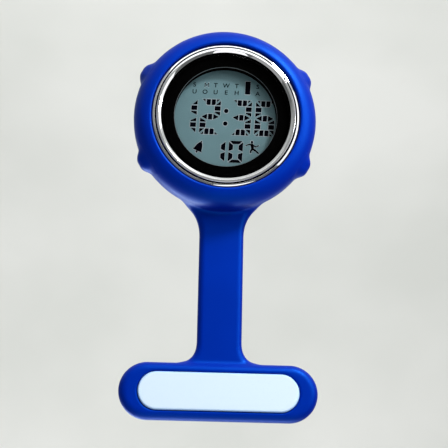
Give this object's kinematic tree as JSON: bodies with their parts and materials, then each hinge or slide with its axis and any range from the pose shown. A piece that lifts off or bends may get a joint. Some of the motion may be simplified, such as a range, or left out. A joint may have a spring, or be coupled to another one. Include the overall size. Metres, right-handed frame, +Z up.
{
  "type": "fob watch",
  "caption": "Digital fob watch that hangs from a pin brooch: a round watch with side buttons in a silicone holder with a strap and a bar with a name plate.",
  "frame": {"origin": "centre of the brooch plate's outer face, which lies against the clothing", "axes": "+Z up, from the watch to the bar as it hangs when worn; -Y forward, out of the display; +X to the right of someone who faces the display"},
  "size_m": [0.0426, 0.0145, 0.0855],
  "materials": {
    "silicone": "matte moulded silicone",
    "white_plate": "satin gloss",
    "brooch_steel": "nickel plated",
    "chrome": "polished",
    "glass": "clear",
    "black_plastic": "satin",
    "case_plastic": "satin",
    "rubber": "matte",
    "lcd": "reflective grey liquid crystal display",
    "zebra_rubber": "matte",
    "steel": "brushed",
    "brass": "bright",
    "circuit_board": "solder mask"
  },
  "bodies": {
    "bar": {"holder_bar": "silicone", "name_plate": "white_plate", "brooch_plate": "brooch_steel", "pin_rivet": "brooch_steel", "brooch_rivet_left": "brooch_steel", "brooch_rivet_right": "brooch_steel"},
    "watch_head": {"holder_head": "silicone", "bezel": "chrome", "crystal": "glass", "mask_ring": "black_plastic", "module_frame": "black_plastic", "chip_blob": "black_plastic", "case_body": "case_plastic", "crystal_gasket": "rubber", "back_gasket": "rubber", "lcd_polariser": "lcd", "lcd_glass": "lcd", "lcd_reflector": "lcd", "zebra_strip_lower": "zebra_rubber", "zebra_strip_upper": "zebra_rubber", "case_back": "steel", "quartz_can": "steel", "battery": "steel", "battery_clip": "steel", "buzzer_spring": "steel", "case_back_screw_1": "steel", "case_back_screw_2": "steel", "case_back_screw_3": "steel", "case_back_screw_4": "steel", "button_spring_2h": "steel", "button_spring_4h": "steel", "button_spring_8h": "steel", "button_spring_10h": "steel", "piezo_disc": "brass", "battery_contact": "brass", "circuit_board": "circuit_board"},
    "brooch_pin": {"brooch_pin": "brooch_steel"},
    "safety_catch": {"safety_catch": "brooch_steel"},
    "button_2h": {"button_pad_2h": "silicone", "button_stem_2h": "steel", "button_clip_2h": "steel"},
    "button_4h": {"button_pad_4h": "silicone", "button_stem_4h": "steel", "button_clip_4h": "steel"},
    "button_8h": {"button_pad_8h": "silicone", "button_stem_8h": "steel", "button_clip_8h": "steel"},
    "button_10h": {"button_pad_10h": "silicone", "button_stem_10h": "steel", "button_clip_10h": "steel"}
  },
  "joints": [
    {"name": "strap_flex", "type": "hinge", "parent": "bar", "child": "watch_head", "pos_m": [0, -0.0019, -0.022], "axis": [-1, 0, 0], "range_deg": [-30, 75], "stiffness_Nm_per_rad": 0.02, "springref_deg": 1.72},
    {"name": "pin_swing", "type": "hinge", "parent": "bar", "child": "brooch_pin", "pos_m": [0.0136, 0.002, 0], "axis": [0, 0, -1], "range_deg": [0, 70]},
    {"name": "catch_turn", "type": "hinge", "parent": "bar", "child": "safety_catch", "pos_m": [-0.0138, 0.002, 0], "axis": [1, 0, 0], "range_deg": [0, 95]},
    {"name": "press_2h", "type": "slide", "parent": "watch_head", "child": "button_2h", "axis": [0.866, 0, 0.5], "range_m": [0, 0.0007], "stiffness_N_per_m": 300, "deforming": ["button_spring_2h"]},
    {"name": "press_4h", "type": "slide", "parent": "watch_head", "child": "button_4h", "axis": [0.866, 0, -0.5], "range_m": [0, 0.0007], "stiffness_N_per_m": 300, "deforming": ["button_spring_4h"]},
    {"name": "press_8h", "type": "slide", "parent": "watch_head", "child": "button_8h", "axis": [-0.866, 0, -0.5], "range_m": [0, 0.0007], "stiffness_N_per_m": 300, "deforming": ["button_spring_8h"]},
    {"name": "press_10h", "type": "slide", "parent": "watch_head", "child": "button_10h", "axis": [-0.866, 0, 0.5], "range_m": [0, 0.0007], "stiffness_N_per_m": 300, "deforming": ["button_spring_10h"]}
  ]
}
